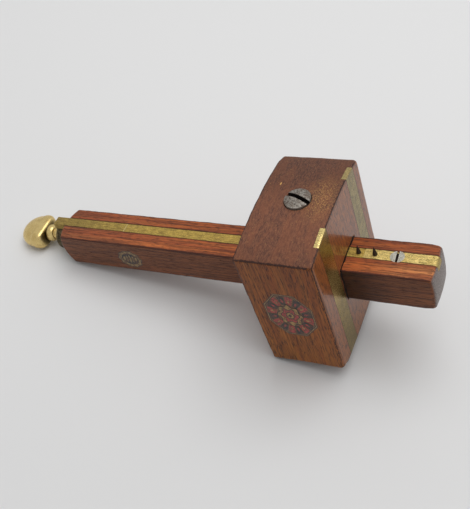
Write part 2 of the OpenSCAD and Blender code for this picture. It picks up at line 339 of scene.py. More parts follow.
def makeHeadWood():
    material, tree, shader = newMaterial("headWood")
    grain = useGroup(tree, grainGroup, stretched(tree, (1, 1, 1), turn=(0, 90, 0)))
    colour = blendColour(tree, grain["Figure"], headWood["brown"], headWood["red"])
    # More golden towards the heel
    lower = maths(tree, "ADD", maths(tree, "MULTIPLY", along(tree, 2), -0.02), 0.3)
    mild = maths(tree, "MULTIPLY", ramp(tree, lower, [(0.3, 0), (1, 0.7)], True),
                 ramp(tree, cloud(tree, stretched(tree, (0.3, 0.3, 0.12)), 1.0, 3, 0.6),
                      [(0.35, 0.3), (0.62, 1)]))
    colour = blendColour(tree, mild, colour, headWood["golden"])
    colour = blendColour(tree, maths(tree, "MULTIPLY", grain["Streak"], 0.55), colour, headWood["dark"])
    colour = blendColour(tree, maths(tree, "MULTIPLY", grain["Pore"], 0.72), colour, (0.022, 0.012, 0.010))
    # End grain on top and below: mottled, with broad bands
    endways = ramp(tree, maths(tree, "ABSOLUTE", facing(tree, 2)), [(0.55, 0), (0.85, 1)])
    mottle = cloud(tree, stretched(tree, (1.0, 0.3, 1), turn=(0, 0, 6)), 1.6, 6, 0.8)
    bands = cloud(tree, stretched(tree, (0.16, 0.05, 0.05), turn=(0, 0, 14)), 1.0, 3, 0.5, 1.2)
    endTone = blendColour(tree, ramp(tree, mottle, [(0.42, 0), (0.60, 1)]), headWood["top"],
                          headWood["topDark"])
    endTone = blendColour(tree, maths(tree, "MULTIPLY", ramp(tree, bands, [(0.4, 0), (0.62, 1)], True), 0.45),
                          endTone, headWood["topRed"])
    # Painted light: a paler sheen on the near half, and shade on the far half
    nearSheen = maths(tree, "MULTIPLY", joint(tree, along(tree, 1), -13, 0, 21), 0.24)
    lit = ramp(tree, maths(tree, "MULTIPLY", along(tree, 1), 0.04), [(0, 1), (0.8, 0.82)], True)
    endTone = scaled(tree, endTone, maths(tree, "MULTIPLY", lit, maths(tree, "ADD", nearSheen, 1.0)))
    ticks = ramp(tree, cloud(tree, stretched(tree, (1, 1, 1)), 2.0, 3, 0.7), [(0.62, 0), (0.70, 1)])
    endTone = blendColour(tree, maths(tree, "MULTIPLY", ticks, 0.5), endTone, headWood["gold"])
    colour = blendColour(tree, endways, colour, endTone)
    # A rubbed golden patch between the screw and the working face
    patch = addNode(tree, "VectorMath", operation="LENGTH")
    join(tree, (stretched(tree, (0.105, 0.058, 0.0), (0.68, -0.20, 0)), patch.inputs[0]))
    near = ramp(tree, patch.outputs["Value"], [(0.1, 1), (1, 0)], True)
    flecks = ramp(tree, cloud(tree, stretched(tree, (1.7, 0.7, 1.2), turn=(0, 0, 8)), 1.6, 5, 0.85),
                  [(0.51, 0), (0.58, 1)])
    nick = addNode(tree, "VectorMath", operation="LENGTH")
    join(tree, (stretched(tree, (2.6, 1.0, 0.0), (68.6, -10.2, 0)), nick.inputs[0]))
    patches = maths(tree, "MAXIMUM", maths(tree, "MULTIPLY", maths(tree, "MULTIPLY", near, flecks), 0.72),
                    ramp(tree, nick.outputs["Value"], [(0.6, 1), (1, 0)]))
    gold = maths(tree, "MULTIPLY", patches, endways)
    colour = blendColour(tree, gold, colour, headWood["gold"])
    # Darker along the eased corners: dirt and painted shade
    colour = blendColour(tree, maths(tree, "MULTIPLY", arris(tree, (1, 1, 1), 0.92, 1.12), 0.9), colour,
                         (0.034, 0.015, 0.012))
    # Painted shade and dirt along the heel's edges, next to the floor
    worn = addNode(tree, "Attribute", attribute_name="arris")
    low = ramp(tree, maths(tree, "MULTIPLY", along(tree, 2), -0.02), [(0.60, 0), (0.64, 0.9)])
    colour = blendColour(tree, maths(tree, "MULTIPLY", low, worn.outputs["Fac"]), colour,
                         (0.034, 0.015, 0.012))
    front = ramp(tree, facing(tree, 0), [(0.7, 0), (0.95, 1)])
    colour = blendColour(tree, maths(tree, "MULTIPLY", front, 0.4), colour, headWood["rubbed"])
    colour = blendColour(tree, maths(tree, "MULTIPLY", maths(tree, "MULTIPLY", grain["Pore"], 0.8), front),
                         colour, (0.022, 0.012, 0.010))
    fine = cloud(tree, stretched(tree, (1.2, 1.2, 0.05)), 1.6, 4, 0.75)
    colour = blendColour(tree, maths(tree, "MULTIPLY", ramp(tree, fine, [(0.5, 0), (0.62, 0.55)]), front),
                         colour, headWood["dark"])
    # Dirt along the fitted strips
    edges = [joint(tree, along(tree, 1), y, wide / 2, 0.45) for y, wide in head["strips"]]
    crack = maths(tree, "MULTIPLY", maths(tree, "MULTIPLY", maths(tree, "MAXIMUM", *edges), front), 0.8)
    colour = blendColour(tree, crack, colour, (0.014, 0.008, 0.007))
    roughness = blendColour(tree, front, (headWood["roughness"],) * 3, (headWood["faceRoughness"],) * 3)
    dents = cloud(tree, stretched(tree, (0.5, 0.5, 0.5)), 1.0, 4, 0.6)
    height = maths(tree, "SUBTRACT", maths(tree, "MULTIPLY", dents, 0.4), grain["Pore"])
    bump = bumpFrom(tree, height, 0.3, 0.00008)
    tree.links.new(ramp(tree, front, [(0, 0.3), (1, 0.12)]), bump.node.inputs["Strength"])
    join(tree, (colour, shader.inputs["Base Color"]), (roughness, shader.inputs["Roughness"]),
         (bump, shader.inputs["Normal"]))
    # Only the working face is rubbed to a shine, and less so near the heel
    heelward = maths(tree, "MULTIPLY", along(tree, 2), -0.03)
    shine = maths(tree, "MULTIPLY", ramp(tree, front, [(0, 0.02), (1, headWood["shine"])]),
                  ramp(tree, heelward, [(0.25, 1), (1, 0.42)], True))
    shine = maths(tree, "MULTIPLY", shine, maths(tree, "SUBTRACT", 1.0, crack))
    tree.links.new(shine, shader.inputs["Coat Weight"])
    shader.inputs["Coat Roughness"].default_value = 0.07
    shader.inputs["Specular IOR Level"].default_value = 0.2
    return material


def makeBrass(name, colour, stain, roughness, specks, scratches, bump=0.3, metallic=0.85, scuffs=0.0,
              dullEnd=None, endColour=None, line=None):
    material, tree, shader = newMaterial(name)
    marks = useGroup(tree, tarnishGroup, stretched(tree, (1, 1, 1)))
    tone = blendColour(tree, marks["Stain"], colour, stain)
    if endColour:
        upright = ramp(tree, maths(tree, "ABSOLUTE", facing(tree, 2)), [(0.6, 0), (0.9, 1)])
        tone = blendColour(tree, upright, tone, endColour)
    if dullEnd:
        # Dull towards one end along an axis, from the first distance to the second
        axis, low, high, dullColour = dullEnd
        share = maths(tree, "DIVIDE", maths(tree, "SUBTRACT", along(tree, axis), low), high - low)
        grimy = maths(tree, "MULTIPLY", ramp(tree, share, [(0, 0), (1, 1)], True),
                      ramp(tree, marks["Speck"], [(0, 0.45), (1, 0.9)]))
        tone = blendColour(tree, grimy, tone, dullColour)
    tone = blendColour(tree, maths(tree, "MULTIPLY", marks["Scratch"], scratches), tone,
                       tuple(c * 0.35 for c in stain))
    tone = blendColour(tree, maths(tree, "MULTIPLY", marks["Speck"], specks), tone, (0.07, 0.05, 0.02))
    if scuffs:
        tone = blendColour(tree, maths(tree, "MULTIPLY", marks["Scuff"], scuffs), tone, (0.09, 0.06, 0.02))
    if line:
        # A band across an axis, given its middle, reach and colour: a scratch on the slide, painted shade in
        # the knob's crevice, and a painted reflection on the near strip
        axis, middle, reach, shade = line
        tone = blendColour(tree, joint(tree, along(tree, axis), middle, 0, reach), tone, shade)
    rough = ramp(tree, marks["Scratch"], [(0, roughness), (1, min(1, roughness + 0.18))])
    normal = bumpFrom(tree, maths(tree, "SUBTRACT", 1.0, marks["Scratch"]), bump, 0.00006)
    join(tree, (tone, shader.inputs["Base Color"]), (rough, shader.inputs["Roughness"]),
         (normal, shader.inputs["Normal"]))
    shader.inputs["Metallic"].default_value = metallic
    return material


def makeSteel(name, light, dark, roughness, pitting, rust=0.0):
    material, tree, shader = newMaterial(name)
    pits = ramp(tree, cloud(tree, stretched(tree, (1, 1, 1)), 1.7, 5, 0.7), [(0.40, 0), (0.62, 1)])
    tone = blendColour(tree, maths(tree, "MULTIPLY", pits, pitting), light, dark)
    if rust:
        stain = ramp(tree, cloud(tree, stretched(tree, (1, 1, 1)), 0.30, 5, 0.65), [(0.44, 0), (0.60, rust)])
        tone = blendColour(tree, stain, tone, (0.105, 0.066, 0.043))
    join(tree, (tone, shader.inputs["Base Color"]),
         (ramp(tree, pits, [(0, roughness), (1, min(1, roughness + 0.25))]), shader.inputs["Roughness"]),
         (bumpFrom(tree, maths(tree, "SUBTRACT", 1.0, pits), 0.5 * pitting, 0.0002), shader.inputs["Normal"]))
    shader.inputs["Metallic"].default_value = 0.7
    return material


def makePlain(name, colour, roughness):
    material, tree, shader = newMaterial(name)
    shader.inputs["Base Color"].default_value = (*colour, 1)
    shader.inputs["Roughness"].default_value = roughness
    shader.inputs["Specular IOR Level"].default_value = 0.15
    return material


def makePrint(name, colour, worn):
    # Printed or gilt colour, rubbed through to the wood in places
    material, tree, shader = newMaterial(name)
    rub = ramp(tree, cloud(tree, stretched(tree, (1, 1, 1)), 0.8, 6, 0.8), [(0.47, 0), (0.53, 1)])
    join(tree, (blendColour(tree, maths(tree, "MULTIPLY", rub, worn), colour, (0.115, 0.050, 0.026)),
                shader.inputs["Base Color"]))
    shader.inputs["Roughness"].default_value = 0.5
    return material


def makeCard(name, colour):
    # Grey to the lamp's light, and clear to the camera and to mirrors
    material, tree, shader = newMaterial(name)
    shader.inputs["Base Color"].default_value = (*colour, 1)
    shader.inputs["Roughness"].default_value = 0.9
    path = addNode(tree, "LightPath")
    seen = maths(tree, "MAXIMUM", path.outputs["Is Camera Ray"], path.outputs["Is Glossy Ray"])
    seen = maths(tree, "MAXIMUM", seen, path.outputs["Is Transmission Ray"])
    clear = addNode(tree, "BsdfTransparent")
    mix = addNode(tree, "MixShader")
    join(tree, (seen, mix.inputs[0]), (shader, mix.inputs[1]), (clear, mix.inputs[2]),
         (mix, tree.nodes["Material Output"].inputs["Surface"]))
    return material


wearLook = {
    "roughness": 0.22,
    "specks": 1,
    "scratches": 0.65,
    "bump": 0.2,
    "scuffs": 0.3,
    "dullEnd": (2, -4, -34, (0.215, 0.140, 0.022)),
}

materials = {
    "stem": makeStemWood(),
    "head": makeHeadWood(),
    "slide": makeBrass("slideBrass", (0.71, 0.495, 0.118), (0.51, 0.35, 0.092), 0.42, specks=0.85,
                       scratches=0.7, bump=0.6, scuffs=0.6, dullEnd=(0, -95, -150, (0.20, 0.145, 0.060)),
                       line=(0, -110.7, 0.3, (0.62, 0.50, 0.22))),
    "plate": makeBrass("plateBrass", (0.98, 0.76, 0.28), (0.84, 0.62, 0.20), 0.40, specks=0.5, scratches=0.8,
                       bump=0.8, scuffs=0.85, dullEnd=(0, 36.4, 37.0, (0.20, 0.145, 0.060))),
    "wear": makeBrass("wearBrass", (0.42, 0.32, 0.125), (0.24, 0.18, 0.075), endColour=(0.64, 0.49, 0.21),
                      **wearLook),
    # The near strip's lighter golden band by the mortise is a painted reflection of the stem
    "wearNear": makeBrass("wearNearBrass", (0.41, 0.28, 0.06), (0.235, 0.155, 0.035),
                          line=(2, 10, 13, (0.56, 0.38, 0.125)), endColour=(0.95, 0.74, 0.30), **wearLook),
    # The knob's dark band next to the bead is painted shade in the crevice
    "knob": makeBrass("knobBrass", (0.80, 0.61, 0.26), (0.66, 0.48, 0.19), 0.23, specks=0.12, scratches=0.14,
                      bump=0.08, metallic=0.95, line=(0, -161.2, 0.95, (0.07, 0.05, 0.02))),
    # The boss is very dark for tarnish and for painted shade
    "boss": makeBrass("bossBrass", (0.20, 0.155, 0.075), (0.055, 0.042, 0.026), 0.34,
                      specks=0.6, scratches=0.5),
    "innerBrass": makeBrass("innerBrass", (0.66, 0.50, 0.20), (0.5, 0.37, 0.14), 0.34,
                            specks=0.1, scratches=0.15),
    "screw": makeSteel("screwSteel", (0.40, 0.365, 0.32), (0.070, 0.058, 0.046), 0.34, 0.95, rust=0.7),
    "plateScrew": makeSteel("plateScrewSteel", (0.55, 0.53, 0.46), (0.30, 0.28, 0.22), 0.36, 0.7),
    # Near black: dirt and painted shade in the screw slots, and painted shade in the mortise's mouth
    "slot": makePlain("blackGrimeAndShade", (0.016, 0.011, 0.009), 0.75),
    "card": makeCard("greyCard", (0.16, 0.16, 0.16)),
    "pin": makeSteel("pinSteel", (0.060, 0.048, 0.042), (0.025, 0.02, 0.018), 0.35, 0.5),
    "innerSteel": makeSteel("innerSteel", (0.50, 0.49, 0.47), (0.30, 0.29, 0.28), 0.3, 0.4),
    "red": makePrint("badgeRed", (0.48, 0.055, 0.050), 0.9),
    "black": makePrint("badgeBlack", (0.022, 0.023, 0.026), 0.8),
    "gold": makePrint("badgeGold", (0.42, 0.25, 0.08), 0.8),
    "ground": makePrint("badgeGround", (0.22, 0.115, 0.045), 0.8),
    "gilt": makePrint("giltMark", (0.30, 0.20, 0.075), 0.95),
}
print("materials made")


# Mesh helpers, all in millimetres

def newPiece(name, points, faces, *finishes, faceFinish=None):
    mesh = bpy.data.meshes.new(name)
    mesh.from_pydata([Vector(p) * mm for p in points], [], faces)
    for finish in finishes:
        mesh.materials.append(materials[finish])
    if faceFinish:
        mesh.polygons.foreach_set("material_index", faceFinish)
    piece = bpy.data.objects.new(name, mesh)
    bpy.context.scene.collection.objects.link(piece)
    work = bmesh.new()
    work.from_mesh(mesh)
    bmesh.ops.remove_doubles(work, verts=work.verts, dist=1e-7)
    bmesh.ops.recalc_face_normals(work, faces=work.faces)
    work.to_mesh(mesh)
    work.free()
    return piece


def applied(piece):
    # Puts the modifiers into the mesh
    shown = piece.evaluated_get(bpy.context.evaluated_depsgraph_get())
    mesh = bpy.data.meshes.new_from_object(shown)
    piece.modifiers.clear()
    piece.data = mesh
    return piece


def markArris(piece, low, high, profile=lambda p: p):
    # Marks the points of the eased corners, which lie inside two outer planes at once
    mesh = piece.data
    mark = mesh.attributes.new("arris", "FLOAT", "POINT")
    for vertex in mesh.vertices:
        p = profile(vertex.co / mm)
        near = sorted(min(p[a] - low[a], high[a] - p[a]) for a in range(3))
        mark.data[vertex.index].value = max(0, min(1, 1.3 - near[1]))


def carve(piece, cutter, operation="DIFFERENCE"):
    cut = piece.modifiers.new("cut", "BOOLEAN")
    cut.operation = operation
    cut.solver = "EXACT"
    cut.material_mode = "TRANSFER"
    cut.object = cutter
    applied(piece)
    bpy.data.objects.remove(cutter)
    return piece


def finished(piece, angle=32):
    # Smooth faces with crisp corners, shaded by the large faces
    mesh = piece.data
    mesh.polygons.foreach_set("use_smooth", [True] * len(mesh.polygons))
    mesh.set_sharp_from_angle(angle=math.radians(angle))
    weigh = piece.modifiers.new("shading", "WEIGHTED_NORMAL")
    weigh.keep_sharp = True
    weigh.weight = 100
    return piece


def mounted(piece, body, slot, *replaced):
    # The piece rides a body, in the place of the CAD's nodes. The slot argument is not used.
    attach(piece, body)
    if replaced:
        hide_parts(*replaced)
    return piece


def edgeLines(low, high, ease, inner):
    turns = [ease * math.tan(math.radians(9 * k)) for k in range(6)]
    return [low + ease - t for t in reversed(turns)] + list(inner) + [high - ease + t for t in turns]


def spread(low, high, count):
    return [low + (high - low) * (k + 1) / (count + 1) for k in range(count)]


def easedBlock(name, low, high, ease, counts, shape, finish, easeAt):
    # A block with eased corners, its surface then moved by shape
    lines = [edgeLines(low[a], high[a], ease, spread(low[a] + ease, high[a] - ease, counts[a]))
             for a in range(3)]
    points, index = [], {}

    def corner(key):
        if key not in index:
            p = Vector([lines[a][key[a]] for a in range(3)])
            r = min(ease, easeAt(p))
            inside = Vector([min(max(p[a], low[a] + r), high[a] - r) for a in range(3)])
            out = p - inside
            if out.length > 1e-9:
                p = inside + out.normalized() * r
            index[key] = len(points)
            points.append(shape(p))
        return index[key]

    faces = []
    last = [len(l) - 1 for l in lines]
    for a, b, c in ((0, 1, 2), (1, 2, 0), (2, 0, 1)):
        for side in (0, last[a]):
            for i in range(last[b]):
                for j in range(last[c]):
                    ring = []
                    for di, dj in ((0, 0), (1, 0), (1, 1), (0, 1)):
                        key = [0, 0, 0]
                        key[a], key[b], key[c] = side, i + di, j + dj
                        ring.append(corner(tuple(key)))
                    faces.append(ring)
    return newPiece(name, points, faces, finish)


def prism(name, outline, low, high, axis, finish):
    # An outline in the plane across an axis, carried from low to high
    order = {0: lambda u, v, w: (w, u, v), 1: lambda u, v, w: (u, w, v), 2: lambda u, v, w: (u, v, w)}[axis]
    n = len(outline)
    points = [order(u, v, w) for w in (low, high) for u, v in outline]
    faces = [list(range(n)), list(range(n, 2 * n))]
    faces += [[k, (k + 1) % n, n + (k + 1) % n, n + k] for k in range(n)]
    return newPiece(name, points, faces, finish)


def box(name, low, high, finish):
    return prism(name, [(low[0], low[1]), (high[0], low[1]), (high[0], high[1]), (low[0], high[1])],
                 low[2], high[2], 2, finish)


def turned(name, profile, centre, axis, finish, segments=48):
    # A closed solid of revolution from (distance along the axis, radius) pairs
    points, faces, rings = [], [], []
    for t, r in profile:
        if r < 1e-6:
            rings.append([len(points)])
            points.append((t, 0, 0))
            continue
        rings.append(list(range(len(points), len(points) + segments)))
        points += [(t, r * math.cos(2 * math.pi * k / segments), r * math.sin(2 * math.pi * k / segments))
                   for k in range(segments)]
    for first, second in zip(rings, rings[1:]):
        for k in range(segments):
            n = (k + 1) % segments
            if len(first) == 1:
                faces.append([first[0], second[k], second[n]])
            elif len(second) == 1:
                faces.append([first[k], first[n], second[0]])
            else:
                faces.append([first[k], first[n], second[n], second[k]])
    faces += [ring for ring in (rings[0], rings[-1]) if len(ring) > 1]
    if axis == 2:
        points = [(y, z, t) for t, y, z in points]
    points = [Vector(p) + Vector(centre) for p in points]
    return newPiece(name, points, faces, finish)


# Stem, plate and slide

stem = {
    "width": 19.0, "height": 18.3, "back": -147.6, "front": 37.8,
    "backDome": 22.0, "frontDome": 80.0, "ease": 1.6,
    "slideWidth": 4.9, "slideY": 0.95, "slideThick": 3.0, "seam": 7.0, "axisZ": -1.0,
}
topZ = stem["height"] / 2
plateFixing = {
    "place": (20.7, stem["slideY"], 0), "r": 2.98, "hole": 3.03,
    "slot": 0.5, "deep": 0.75, "turn": 3,
}
pin = {
    "fixed": (11.5, stem["slideY"], 0), "moving": (4.6, stem["slideY"], 0),
    "shank": 0.9, "foot": 1.05, "tip": 0.12, "height": 4.2,
}


def stemShape(p):
    x, y, z = p
    square = y * y + z * z
    if x > 0:
        share = min(1, x / (stem["front"] * 0.7)) ** 2
        x -= share * (stem["frontDome"] - math.sqrt(stem["frontDome"] ** 2 - square))
    else:
        share = max(0, min(1, (stem["back"] + 30 - x) / 24)) ** 1.5
        x += share * (stem["backDome"] - math.sqrt(stem["backDome"] ** 2 - square))
    return (x, y, z)


def stemEase(p):
    # Corners are rubbed rounder in places and towards the pin end
    worn = 0.55 + 0.35 * noise.noise(Vector(p) * 0.09) + 0.35 * noise.noise(Vector(p) * 0.4)
    return max(0.3, worn + max(0, min(1, (p.x - 33) * 0.25)))


def stemBlock(name, finish):
    return easedBlock(name, (stem["back"], -stem["width"] / 2, -topZ),
                      (stem["front"], stem["width"] / 2, topZ),
                      stem["ease"], (70, 8, 8), stemShape, finish, stemEase)


def dovetail(name, x0, x1, gap, lift, finish):
    half = stem["slideWidth"] / 2 + gap
    deep = stem["slideThick"] + gap
    y = stem["slideY"]
    return prism(name, [(y - half + 0.1 * lift, topZ + lift), (y + half - 0.1 * lift, topZ + lift),
                        (y + half + 0.1 * deep, topZ - deep), (y - half - 0.1 * deep, topZ - deep)],
                 x0, x1, 0, finish)


axis = (0, stem["slideY"], stem["axisZ"])
stemBody = stemBlock("stem_body", "stem")
carve(stemBody, dovetail("cutter", -160, 45, 0.11, 1, "stem"))
carve(stemBody, turned("cutter", [(-150, 4.5), (-134.9, 4.5)], axis, 0, "stem"))
carve(stemBody, turned("cutter", [(-136, 2.3), (-93, 2.3)], axis, 0, "stem"))
sunk = [(topZ - 1.6, 1.3), (topZ, plateFixing["hole"]), (topZ + 1, plateFixing["hole"])]
carve(stemBody, turned("cutter", [(topZ - 13.05, 1.3)] + sunk, plateFixing["place"], 2, "stem"))
markArris(stemBody, (-400, -9.5, -topZ), (400, 9.5, topZ))
mounted(finished(stemBody), "stem", "stem_wood", "stem")

plateTop = dovetail("pin_plate_top", stem["seam"] + 0.02, 45, 0, 1, "plate")
carve(plateTop, stemBlock("cutter", "plate"), "INTERSECT")
carve(plateTop, turned("cutter", [(topZ - 5, 1.3)] + sunk, plateFixing["place"], 2, "plate"))
shank = [(topZ - 5, pin["shank"]), (topZ + 2, pin["shank"])]
carve(plateTop, turned("cutter", shank, pin["fixed"], 2, "plate"))
mounted(finished(plateTop), "stem", "plate_brass", "pin_plate")

slideStrip = dovetail("slide_strip", -152.4, stem["seam"] - 0.05, 0, 0, "slide")
soften = slideStrip.modifiers.new("soften", "BEVEL")
soften.width = 0.00018
soften.segments = 2
applied(slideStrip)
carve(slideStrip, turned("cutter", shank, pin["moving"], 2, "slide"))
mounted(finished(slideStrip), "pin_slide", "plate_brass", "pin_slide")
print("stem and slide made")


def markingPin(name, place, body, node):
    profile = [(topZ - 3, pin["shank"] - 0.02), (topZ + 0.02, pin["shank"]), (topZ + 0.05, pin["foot"])]
    for k in range(1, 9):
        t = k / 8
        profile.append((topZ + pin["height"] * t, pin["tip"] + (pin["foot"] - pin["tip"]) * (1 - t ** 1.15)))
    piece = turned(name, profile, place, 2, "pin", 24)
    mounted(finished(piece, 50), body, "pin_steel", node)


markingPin("marking_pin_fixed", pin["fixed"], "stem", "fixed_pin")
markingPin("marking_pin_moving", pin["moving"], "pin_slide", "moving_pin")


def slotCutter(place, half, bottom, turn):
    # A screwdriver slot through the middle of a screw's head, turned about its axis; its walls are near
    # black, for dirt and painted shade
    made = box("cutter", (-9, -half, bottom), (9, half, 42), "slot")
    made.data.transform(Matrix.Translation(Vector(place) * mm) @ Matrix.Rotation(math.radians(turn), 4, "Z"))
    return made


screwProfile = [(topZ - 13, 0), (topZ - 11, 1.1), (topZ - 2, 1.25), (topZ - 1.6, 1.3),
                (topZ - 0.05, plateFixing["r"]), (topZ, plateFixing["r"] - 0.08), (topZ, 0)]
plateScrew = turned("plate_fixing_screw", screwProfile, plateFixing["place"], 2, "plateScrew")
carve(plateScrew, slotCutter(plateFixing["place"], plateFixing["slot"], topZ - plateFixing["deep"],
                             90 + plateFixing["turn"]))
mounted(finished(plateScrew), "stem", "screw_steel", "plate_screw")

# Head, wear strips and clamp screw

clampScrew = {
    "place": (-15.9, 1.6, 0), "rim": 37.9, "dome": 1.3, "r": 5.6,
    "slot": 0.9, "deep": 1.5, "slotTurn": -19.6,
}
halfWidth = head["width"] / 2
archR = (halfWidth ** 2 + head["camber"] ** 2) / (2 * head["camber"])


def headReach(y, z):
    # How far the arched top or the flatter heel reaches, over the plain block
    arch = math.sqrt(archR ** 2 - min(halfWidth, abs(y)) ** 2) - (archR - head["camber"])
    if z > 0:
        return (head["side"] + arch) / head["side"]
    return (head["heel"] + arch * head["heelCamber"] / head["camber"]) / head["side"]


def headShape(p):
    x, y, z = p
    return (x, y, head["rise"] + z * headReach(y, z))


def headEase(p):
    # Crisp where the working face meets the top, rounder at the corners and the heel, dented elsewhere
    dents = 0.28 * noise.noise(Vector(p) * 0.12) + 0.32 * noise.noise(Vector(p) * 0.55)
    near = max(0, min(1, (-25 - p.y) / 3.5))
    far = max(0, min(1, (p.y - 25) / 3.5))
    if p.z < -28 and p.y < -25:
        return max(0.3, 1.2 + 0.9 * min(1, (p.x + 33.4) / 12) + dents)
    if p.x > -3:
        return max(0.2, 0.3 + 0.6 * dents + 1.2 * near + 1.5 * far)
    return max(0.3, 0.7 + dents + 1.2 * far)


def headBlockMesh(name, finish):
    return easedBlock(name, (-head["depth"], -halfWidth + head["frontInset"], -head["side"]),
                      (0, halfWidth, head["side"]), head["ease"], (8, 26, 26), headShape, finish, headEase)


def stripBox(name, y, wide, grow, finish="wear"):
    half = wide / 2 + grow
    return box(name, (-head["stripThick"] - grow, y - half, -40), (1, y + half, 40), finish)


headBlock = headBlockMesh("head_block", "head")
carve(headBlock, box("cutter", (-40, -9.62, -9.27), (5, 9.62, 9.27), "head"))
# The mortise's mouth is eased where the stem has rubbed it
mouth = [(-10.3, -9.7), (10.1, -9.7), (10.3, 9.8), (3, 10.25), (-4, 10.3), (-10.4, 9.85)]
flare = prism("cutter", mouth, 0, 5, 0, "head")
for vertex in flare.data.vertices:
    if vertex.co.x < 1e-6:
        vertex.co = Vector((-0.0009, vertex.co.y * 0.925, vertex.co.z * 0.925))
    else:
        vertex.co.x = 0.00008
carve(headBlock, flare)
lip = [(0.2, -9.4)] + [(-1.1 * math.cos(math.pi * y / 19), y) for y in range(-9, 10, 2)] + [(0.2, 9.4)]
carve(headBlock, prism("cutter", lip, 9.0, 9.75, 2, "head"))
carve(headBlock, box("cutter", (-22.05, -4.55, 0), (-9.75, 7.75, 14.93), "head"))
carve(headBlock, turned("cutter", [(18.33, 6.0), (35.6, 6.0), (35.8, 5.8), (45, 5.8)],
                        clampScrew["place"], 2, "head"))
carve(headBlock, turned("cutter", [(12, 3.3), (19, 3.3)], clampScrew["place"], 2, "head"))
for y, wide in head["strips"]:
    carve(headBlock, stripBox("cutter", y, wide, 0.05))


def unarched(p):
    z = p.z - head["rise"]
    return Vector((p.x, p.y, z / headReach(p.y, z)))


markArris(headBlock, (-head["depth"], -halfWidth + head["frontInset"], -head["side"]),
          (0, halfWidth, head["side"]), unarched)
mounted(finished(headBlock), "head", "head_wood", "head")

for name, node, finish, (y, wide) in zip(("wear_strip_near", "wear_strip_far"),
                                         ("wear_strip_front", "wear_strip_back"), ("wearNear", "wear"),
                                         head["strips"]):
    strip = stripBox(name, y, wide, 0, finish)
    carve(strip, headBlockMesh("cutter", finish), "INTERSECT")
    mounted(finished(strip), "head", "wear_brass", node)
    # The pins are filed flush and end a hair under the strip's face
    for side in (-1, 1):
        pins = turned("%s_pin_%s" % (name, "top" if side > 0 else "bottom"), [(-9, 0.8), (-0.05, 0.8)],
                      (0, y, head["rise"] + head["pinsOut"] * side), 0, "wear", 24)
        mounted(finished(pins), "head", "wear_brass", "wear_strip_pins")


def mouthShadeSheet():
    # Painted shade, with some wax and dirt: a dark sheet in the corner between the working face and the stem
    outline, spacing = [], 0.5
    half = (stem["width"] / 2, topZ)
    for (y, z), (dy, dz) in zip(((-1, -1), (1, -1), (1, 1), (-1, 1)), ((1, 0), (0, 1), (-1, 0), (0, -1))):
        span = 2 * (half[0] if dy else half[1]) - 1.6
        count = round(span / spacing)
        start = (y * half[0] + 0.8 * dy, z * half[1] + 0.8 * dz)
        outline += [(start[0] + dy * span * k / count, start[1] + dz * span * k / count, dz, -dy)
                    for k in range(count + 1)]
    points, faces = [], []
    for y, z, outY, outZ in outline:
        wide = (0.27 + 0.40 * noise.noise(Vector((y, z, 3)) * 0.35)
                + 0.25 * noise.noise(Vector((z, y, 7)) * 1.3))
        tall = 0.95 + 0.9 * noise.noise(Vector((y, z, 11)) * 0.45)
        # Thin over the slide, where the moving pin comes close
        wide = 0.06 if z > half[1] - 0.1 and abs(y - stem["slideY"]) < 3 else max(0.08, wide)
        for x, off in ((-0.8, 0.08), (wide, 0.08), (0.02, max(0.6, tall)), (-0.8, 0.12)):
            points.append((x, y + outY * off, z + outZ * off))
    count = len(outline)
    for k in range(count):
        a, b = 4 * k, 4 * ((k + 1) % count)
        for j in range(4):
            n = (j + 1) % 4
            faces.append([a + j, a + n, b + n, b + j])
    return newPiece("mouth_shade_sheet", points, faces, "slot")


mounted(finished(mouthShadeSheet()), "head", "head_wood")

domeR = (clampScrew["r"] ** 2 + clampScrew["dome"] ** 2) / (2 * clampScrew["dome"])
profile = [(12.26, 0), (12.26, 2.6), (12.7, 2.95)]
profile += [(12.7 + 0.25 * k, 2.97 if k % 2 else 2.6) for k in range(1, 83)]
profile += [(33.7, 2.97), (33.7, 5.5), (33.9, clampScrew["r"]), (37.75, clampScrew["r"])]
for k in range(0, 13):
    r = clampScrew["r"] * (1 - k / 12) * 0.985
    profile.append((clampScrew["rim"] + clampScrew["dome"] - domeR + math.sqrt(domeR ** 2 - r * r), r))
clampTop = turned("clamp_screw_turned", profile, clampScrew["place"], 2, "screw", 64)
carve(clampTop, slotCutter(clampScrew["place"], clampScrew["slot"], clampScrew["rim"] - clampScrew["deep"],
                           clampScrew["slotTurn"]))
mounted(finished(clampTop), "clamp_screw", "screw_steel", "clamp_screw")
print("head made")

# Thumbscrew and boss

knob = {"nose": -177.3, "back": -161.5, "r": 9.3, "half": 5.0}


def thumbPiece():
    # An oval pad: round at the nose, and flatter towards the bead, where its edges are crisper
    around, sections = 72, 28
    middle = knob["nose"] + knob["r"]
    points, faces, rows = [(middle, 0, knob["half"]), (middle, 0, -knob["half"])], [], []
    for k in range(around):
        a = 2 * math.pi * k / around
        side, back = math.cos(a), math.sin(a)
        square = 2.0 + 2.0 * max(0, back) ** 0.5
        y = math.copysign(abs(side) ** (2 / square), side) * knob["r"]
        reach = knob["back"] - middle if back > 0 else knob["r"]
        x = math.copysign(abs(back) ** (2 / square), back) * reach
        power = 2.3 + 2.7 * max(0, back) ** 0.5
        row = [0]
        for j in range(1, sections):
            t = math.pi * j / sections
            out = math.sin(t) ** (2 / power)
            row.append(len(points))
            points.append((middle + x * out, y * out,
                           math.copysign(abs(math.cos(t)) ** (2 / power), math.cos(t)) * knob["half"]))
        rows.append(row + [1])
    for k in range(around):
        first, second = rows[k], rows[(k + 1) % around]
        for j in range(sections):
            faces.append(list(dict.fromkeys((first[j], first[j + 1], second[j + 1], second[j]))))
    points = [Vector((x, y + axis[1], z + axis[2])) for x, y, z in points]
    return newPiece("thumb_turn", points, faces, "knob")


